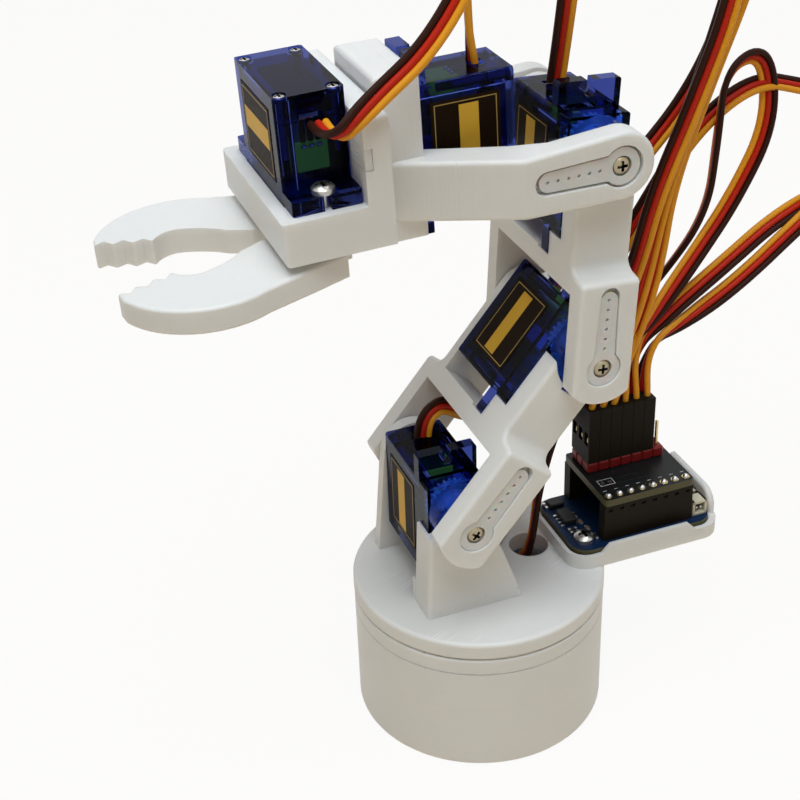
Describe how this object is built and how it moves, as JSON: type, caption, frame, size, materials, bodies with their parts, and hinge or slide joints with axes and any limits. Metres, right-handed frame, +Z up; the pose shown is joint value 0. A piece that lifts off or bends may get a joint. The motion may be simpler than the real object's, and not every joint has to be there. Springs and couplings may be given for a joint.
{
  "type": "desktop robot arm",
  "caption": "Small printed desktop robot arm on a round base, driven by micro servos, with a rolling wrist, geared serrated claws and a controller board on its turning waist.",
  "frame": {"origin": "centre of the base's underside, on the waist axis", "axes": "+X forward to the claws, +Y to the horn side of the arm, +Z up"},
  "size_m": [0.1758, 0.0518, 0.21],
  "materials": {
    "print_white": "3D-printed layers",
    "servo_case": "clear blue moulded",
    "servo_cover": "blue moulded",
    "motor": "drawn can and board",
    "white_nylon": "moulded nylon",
    "screw": "nickel plated",
    "board_blue": "solder mask",
    "board_dark": "solder mask",
    "black_plastic": "moulded",
    "header": "moulded base with plated pins",
    "lead": "flexible insulation"
  },
  "bodies": {
    "base": {"base_shell": "print_white", "base_cover": "print_white", "base_servo_case": "servo_case", "base_servo_lead": "lead", "base_screws": "screw"},
    "waist": {"waist": "print_white", "base_servo_shaft": "white_nylon", "base_horn": "white_nylon", "shoulder_servo_lid": "servo_case", "shoulder_servo_case": "servo_case", "shoulder_servo_gear_cover": "servo_cover", "shoulder_servo_innards": "motor", "shoulder_lead": "lead", "waist_screws": "screw", "main_board": "board_blue", "module_board": "board_dark", "module_sockets": "black_plastic", "board_connectors": "header", "servo_plugs": "black_plastic"},
    "upper_arm": {"upper_arm": "print_white", "shoulder_servo_shaft": "white_nylon", "shoulder_horn": "white_nylon", "elbow_servo_lid": "servo_case", "elbow_servo_case": "servo_case", "elbow_servo_gear_cover": "servo_cover", "elbow_servo_innards": "motor", "elbow_lead": "lead", "upper_arm_screws": "screw"},
    "forearm": {"forearm": "print_white", "elbow_servo_shaft": "white_nylon", "elbow_horn": "white_nylon", "wrist_servo_lid": "servo_case", "wrist_servo_case": "servo_case", "wrist_servo_gear_cover": "servo_cover", "wrist_servo_innards": "motor", "wrist_lead": "lead", "forearm_screws": "screw"},
    "hand": {"hand": "print_white", "wrist_servo_shaft": "white_nylon", "wrist_horn": "white_nylon", "roll_servo_lid": "servo_case", "roll_servo_case": "servo_case", "roll_servo_gear_cover": "servo_cover", "roll_servo_innards": "motor", "roll_lead": "lead", "hand_screws": "screw"},
    "gripper": {"gripper_base": "print_white", "roll_servo_shaft": "white_nylon", "roll_horn": "white_nylon", "gripper_servo_lid": "servo_case", "gripper_servo_case": "servo_case", "gripper_servo_gear_cover": "servo_cover", "gripper_servo_innards": "motor", "gripper_lead": "lead", "gripper_screws": "screw"},
    "claw_driven": {"claw_driven": "print_white", "gripper_servo_shaft": "white_nylon", "claw_horn": "white_nylon", "claw_screw": "screw"},
    "claw_idler": {"claw_idler": "print_white"}
  },
  "joints": [
    {"name": "waist_yaw", "type": "hinge", "parent": "base", "child": "waist", "pos_m": [0, 0, 0.0295], "axis": [0, 0, 1], "range_deg": [-90, 90], "deforming": ["base_servo_lead"]},
    {"name": "shoulder", "type": "hinge", "parent": "waist", "child": "upper_arm", "pos_m": [0.0087, 0, 0.0544], "axis": [0, 1, 0], "range_deg": [-15, 75], "deforming": ["elbow_lead", "shoulder_lead"]},
    {"name": "elbow", "type": "hinge", "parent": "upper_arm", "child": "forearm", "pos_m": [-0.01658, 0, 0.08442], "axis": [0, -1, 0], "range_deg": [-45, 35], "deforming": ["wrist_lead"]},
    {"name": "wrist_pitch", "type": "hinge", "parent": "forearm", "child": "hand", "pos_m": [-0.01877, 0, 0.12361], "axis": [0, -1, 0], "range_deg": [-25, 60], "deforming": ["roll_lead"]},
    {"name": "wrist_roll", "type": "hinge", "parent": "hand", "child": "gripper", "pos_m": [0.02187, 0, 0.13213], "axis": [0.9993, 0, -0.0366], "range_deg": [-90, 90], "deforming": ["gripper_lead"]},
    {"name": "claw_drive", "type": "hinge", "parent": "gripper", "child": "claw_driven", "pos_m": [0.03201, 0.00535, 0.11274], "axis": [0.0366, 0, 0.9993], "range_deg": [-14.5, 35]},
    {"name": "claw_follow", "type": "hinge", "parent": "gripper", "child": "claw_idler", "pos_m": [0.03201, -0.00535, 0.11274], "axis": [0.0366, 0, 0.9993], "range_deg": [-35, 14.5]}
  ],
  "couplings": [
    {"joint": "claw_follow", "follows": "claw_drive", "ratio": -1}
  ]
}
